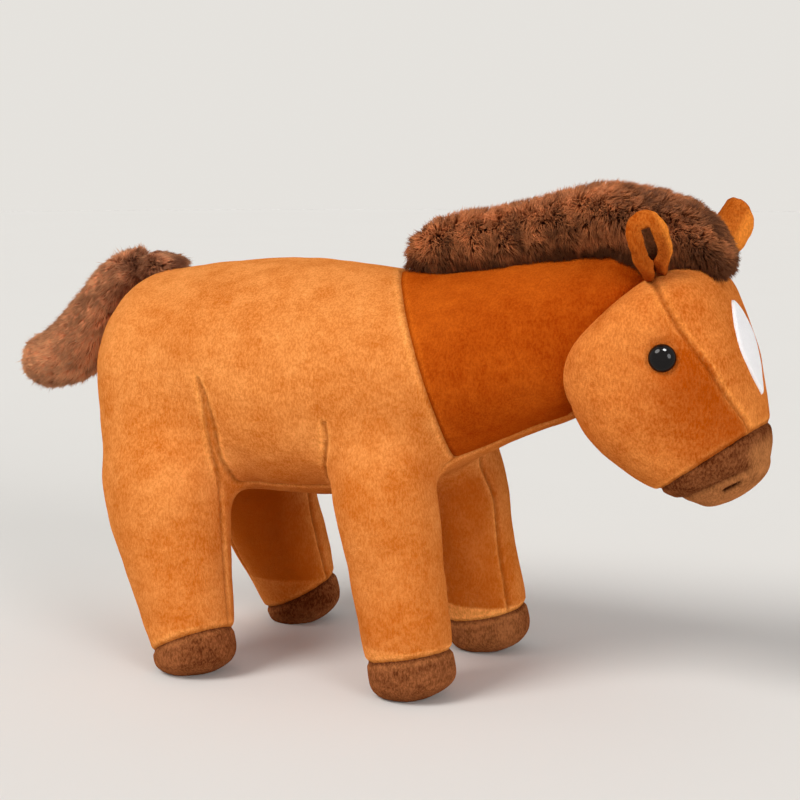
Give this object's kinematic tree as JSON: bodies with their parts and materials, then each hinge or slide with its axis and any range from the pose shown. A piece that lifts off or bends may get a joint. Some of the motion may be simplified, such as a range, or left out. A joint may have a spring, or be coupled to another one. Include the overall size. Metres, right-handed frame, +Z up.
{
  "type": "plush horse",
  "caption": "Standing stuffed horse of short-pile plush with a long-pile mane and tail, white blaze, dark hooves and muzzle and domed eyes; tail and ears give and spring back",
  "frame": {"origin": "on the ground under the middle of the box around the whole horse", "axes": "+X points to the nose, +Y to the horse's left side, +Z up"},
  "size_m": [0.5208, 0.1986, 0.3101],
  "materials": {
    "tan_plush": "short velvety pile, orange tan",
    "rust_plush": "short velvety pile, rust",
    "hoof_plush": "short velvety pile, dark brown",
    "white_plush": "short velvety pile, white",
    "brown_fur": "long soft pile, dark brown with lighter tips",
    "ear_lining": "short pile, dark brown",
    "fibre_fill": "loose white polyester fibre",
    "eye_plastic": "moulded, high gloss black",
    "washer_plastic": "moulded, plain white"
  },
  "bodies": {
    "horse": {"body_side_right": "tan_plush", "body_side_left": "tan_plush", "belly_panel": "tan_plush", "head_side_right": "tan_plush", "head_side_left": "tan_plush", "forehead_panel": "tan_plush", "leg_front_right_cover": "tan_plush", "leg_front_left_cover": "tan_plush", "leg_hind_right_cover": "tan_plush", "leg_hind_left_cover": "tan_plush", "neck_side_right": "rust_plush", "neck_side_left": "rust_plush", "hoof_front_right": "hoof_plush", "hoof_front_left": "hoof_plush", "hoof_hind_right": "hoof_plush", "hoof_hind_left": "hoof_plush", "sole_front_right": "hoof_plush", "sole_front_left": "hoof_plush", "sole_hind_right": "hoof_plush", "sole_hind_left": "hoof_plush", "nose": "hoof_plush", "lip": "hoof_plush", "mane": "brown_fur", "stuffing_body": "fibre_fill", "stuffing_head": "fibre_fill", "stuffing_leg_front_right": "fibre_fill", "stuffing_leg_front_left": "fibre_fill", "stuffing_leg_hind_right": "fibre_fill", "stuffing_leg_hind_left": "fibre_fill", "blaze_patch": "white_plush", "eye_right": "eye_plastic", "eye_left": "eye_plastic", "eye_washer_right": "washer_plastic", "eye_washer_left": "washer_plastic"},
    "tail_root": {"tail_root": "brown_fur"},
    "tail": {"tail_cover": "brown_fur", "stuffing_tail": "fibre_fill"},
    "ear_right": {"ear_right_back": "tan_plush", "ear_right_lining": "ear_lining"},
    "ear_left": {"ear_left_back": "tan_plush", "ear_left_lining": "ear_lining"}
  },
  "joints": [
    {"name": "tail_wag", "type": "hinge", "parent": "horse", "child": "tail_root", "pos_m": [-0.15251, 0, 0.25129], "axis": [-0.377, 0, 0.9262], "range_deg": [-40, 40], "stiffness_Nm_per_rad": 0.6},
    {"name": "tail_lift", "type": "hinge", "parent": "tail_root", "child": "tail", "pos_m": [-0.15251, 0, 0.25129], "axis": [0, 1, 0], "range_deg": [0, 45], "stiffness_Nm_per_rad": 0.6},
    {"name": "ear_right_fold", "type": "hinge", "parent": "horse", "child": "ear_right", "pos_m": [0.19858, -0.02811, 0.25899], "axis": [0.7729, 0.483, 0.4116], "range_deg": [-15, 35], "stiffness_Nm_per_rad": 0.08},
    {"name": "ear_left_fold", "type": "hinge", "parent": "horse", "child": "ear_left", "pos_m": [0.2093, 0.0282, 0.26146], "axis": [-0.8382, 0.5238, 0.1518], "range_deg": [-15, 35], "stiffness_Nm_per_rad": 0.08}
  ]
}
